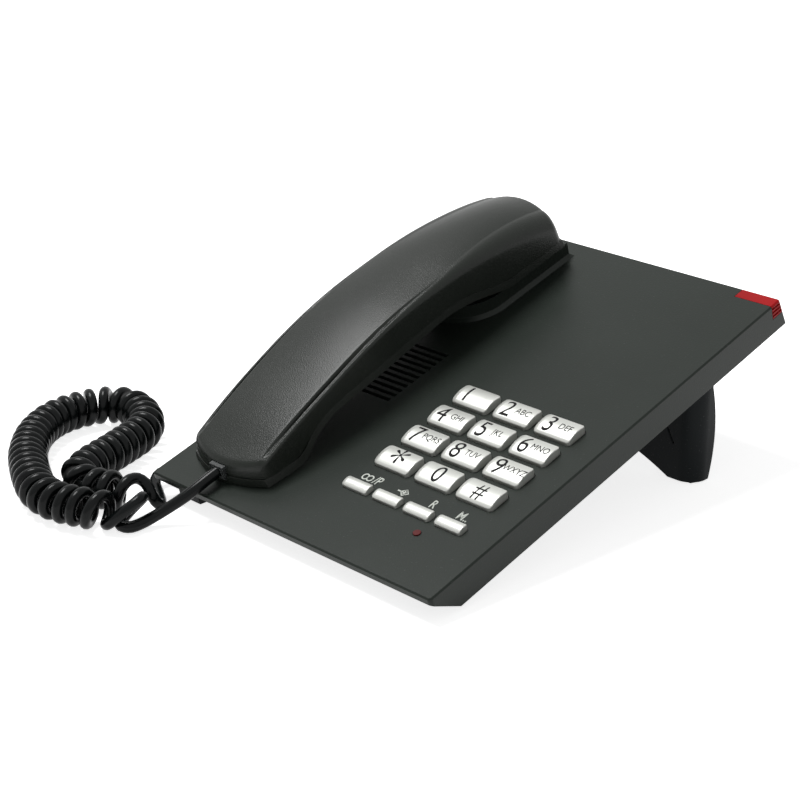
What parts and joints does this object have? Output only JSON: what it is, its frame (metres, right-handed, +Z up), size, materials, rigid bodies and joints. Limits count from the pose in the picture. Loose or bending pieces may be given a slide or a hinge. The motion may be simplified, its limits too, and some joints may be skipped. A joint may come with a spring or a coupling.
{
  "type": "corded telephone",
  "caption": "Corded desk telephone: tilted slab base with push keys, arched handset resting in an ear cup, curly cord and a transverse stand.",
  "frame": {"origin": "middle of the telephone's footprint, without the free cord, on the desk", "axes": "+X to the user's right, +Y from the front edge towards the raised rear edge, +Z up"},
  "size_m": [0.2333, 0.2557, 0.0881],
  "materials": {
    "base_plastic": "fine satin texture, dark greenish grey",
    "cover_plastic": "satin, dark grey",
    "handset_plastic": "fine-grained, soft sheen, black",
    "key_silver": "satin silver paint on plastic",
    "red_lens": "transparent red",
    "led_white": "clear",
    "led_red": "diffuse, unlit",
    "dark_rubber": "matt",
    "board_green": "printed circuit board",
    "speaker_dark": "dark",
    "screw_steel": "plain",
    "spring_steel": "plain",
    "clear_plastic": "clear",
    "cord_jacket": "glossy, black"
  },
  "bodies": {
    "base": {"base_top_housing": "base_plastic", "base_bottom_cover": "cover_plastic", "desk_stand": "cover_plastic", "housing_screws": "screw_steel", "ring_lamp_lens": "red_lens", "ring_lamp_led": "led_white", "indicator_led": "led_red", "keypad_rubber_mat": "dark_rubber", "main_circuit_board": "board_green", "ringer_speaker": "speaker_dark", "hook_switch": "cover_plastic", "hook_return_spring": "spring_steel", "line_jack": "cover_plastic", "base_handset_jack": "cover_plastic", "rubber_feet": "dark_rubber", "base_end_plug": "clear_plastic", "handset_cord": "cord_jacket"},
    "handset": {"handset_upper_shell": "handset_plastic", "handset_lower_shell": "handset_plastic", "handset_screw": "screw_steel", "receiver_capsule": "speaker_dark", "microphone_capsule": "speaker_dark", "handset_weight": "screw_steel", "handset_cord_jack": "cover_plastic", "handset_end_plug": "clear_plastic"},
    "hook": {"hook_plunger": "handset_plastic"},
    "key_star": {"key_star": "key_silver"},
    "key_0": {"key_0": "key_silver"},
    "key_hash": {"key_hash": "key_silver"},
    "key_7": {"key_7": "key_silver"},
    "key_8": {"key_8": "key_silver"},
    "key_9": {"key_9": "key_silver"},
    "key_4": {"key_4": "key_silver"},
    "key_5": {"key_5": "key_silver"},
    "key_6": {"key_6": "key_silver"},
    "key_1": {"key_1": "key_silver"},
    "key_2": {"key_2": "key_silver"},
    "key_3": {"key_3": "key_silver"},
    "key_redial": {"key_redial": "key_silver"},
    "key_program": {"key_program": "key_silver"},
    "key_recall": {"key_recall": "key_silver"},
    "key_memory": {"key_memory": "key_silver"}
  },
  "joints": [
    {"name": "handset_lift", "type": "slide", "parent": "base", "child": "handset", "axis": [0, -0.274, 0.9617], "range_m": [0, 0.06]},
    {"name": "hook_rise", "type": "slide", "parent": "base", "child": "hook", "axis": [0, -0.274, 0.9617], "range_m": [0, 0.003]},
    {"name": "key_star_press", "type": "slide", "parent": "base", "child": "key_star", "axis": [0, 0.274, -0.9617], "range_m": [0, 0.0012], "stiffness_N_per_m": 400, "springref_m": -0.0008},
    {"name": "key_0_press", "type": "slide", "parent": "base", "child": "key_0", "axis": [0, 0.274, -0.9617], "range_m": [0, 0.0012], "stiffness_N_per_m": 400, "springref_m": -0.0008},
    {"name": "key_hash_press", "type": "slide", "parent": "base", "child": "key_hash", "axis": [0, 0.274, -0.9617], "range_m": [0, 0.0012], "stiffness_N_per_m": 400, "springref_m": -0.0008},
    {"name": "key_7_press", "type": "slide", "parent": "base", "child": "key_7", "axis": [0, 0.274, -0.9617], "range_m": [0, 0.0012], "stiffness_N_per_m": 400, "springref_m": -0.0008},
    {"name": "key_8_press", "type": "slide", "parent": "base", "child": "key_8", "axis": [0, 0.274, -0.9617], "range_m": [0, 0.0012], "stiffness_N_per_m": 400, "springref_m": -0.0008},
    {"name": "key_9_press", "type": "slide", "parent": "base", "child": "key_9", "axis": [0, 0.274, -0.9617], "range_m": [0, 0.0012], "stiffness_N_per_m": 400, "springref_m": -0.0008},
    {"name": "key_4_press", "type": "slide", "parent": "base", "child": "key_4", "axis": [0, 0.274, -0.9617], "range_m": [0, 0.0012], "stiffness_N_per_m": 400, "springref_m": -0.0008},
    {"name": "key_5_press", "type": "slide", "parent": "base", "child": "key_5", "axis": [0, 0.274, -0.9617], "range_m": [0, 0.0012], "stiffness_N_per_m": 400, "springref_m": -0.0008},
    {"name": "key_6_press", "type": "slide", "parent": "base", "child": "key_6", "axis": [0, 0.274, -0.9617], "range_m": [0, 0.0012], "stiffness_N_per_m": 400, "springref_m": -0.0008},
    {"name": "key_1_press", "type": "slide", "parent": "base", "child": "key_1", "axis": [0, 0.274, -0.9617], "range_m": [0, 0.0012], "stiffness_N_per_m": 400, "springref_m": -0.0008},
    {"name": "key_2_press", "type": "slide", "parent": "base", "child": "key_2", "axis": [0, 0.274, -0.9617], "range_m": [0, 0.0012], "stiffness_N_per_m": 400, "springref_m": -0.0008},
    {"name": "key_3_press", "type": "slide", "parent": "base", "child": "key_3", "axis": [0, 0.274, -0.9617], "range_m": [0, 0.0012], "stiffness_N_per_m": 400, "springref_m": -0.0008},
    {"name": "key_redial_press", "type": "slide", "parent": "base", "child": "key_redial", "axis": [0, 0.274, -0.9617], "range_m": [0, 0.0012], "stiffness_N_per_m": 400, "springref_m": -0.0008},
    {"name": "key_program_press", "type": "slide", "parent": "base", "child": "key_program", "axis": [0, 0.274, -0.9617], "range_m": [0, 0.0012], "stiffness_N_per_m": 400, "springref_m": -0.0008},
    {"name": "key_recall_press", "type": "slide", "parent": "base", "child": "key_recall", "axis": [0, 0.274, -0.9617], "range_m": [0, 0.0012], "stiffness_N_per_m": 400, "springref_m": -0.0008},
    {"name": "key_memory_press", "type": "slide", "parent": "base", "child": "key_memory", "axis": [0, 0.274, -0.9617], "range_m": [0, 0.0012], "stiffness_N_per_m": 400, "springref_m": -0.0008}
  ],
  "couplings": [
    {"joint": "hook_rise", "follows": "handset_lift", "ratio": 0.05}
  ]
}
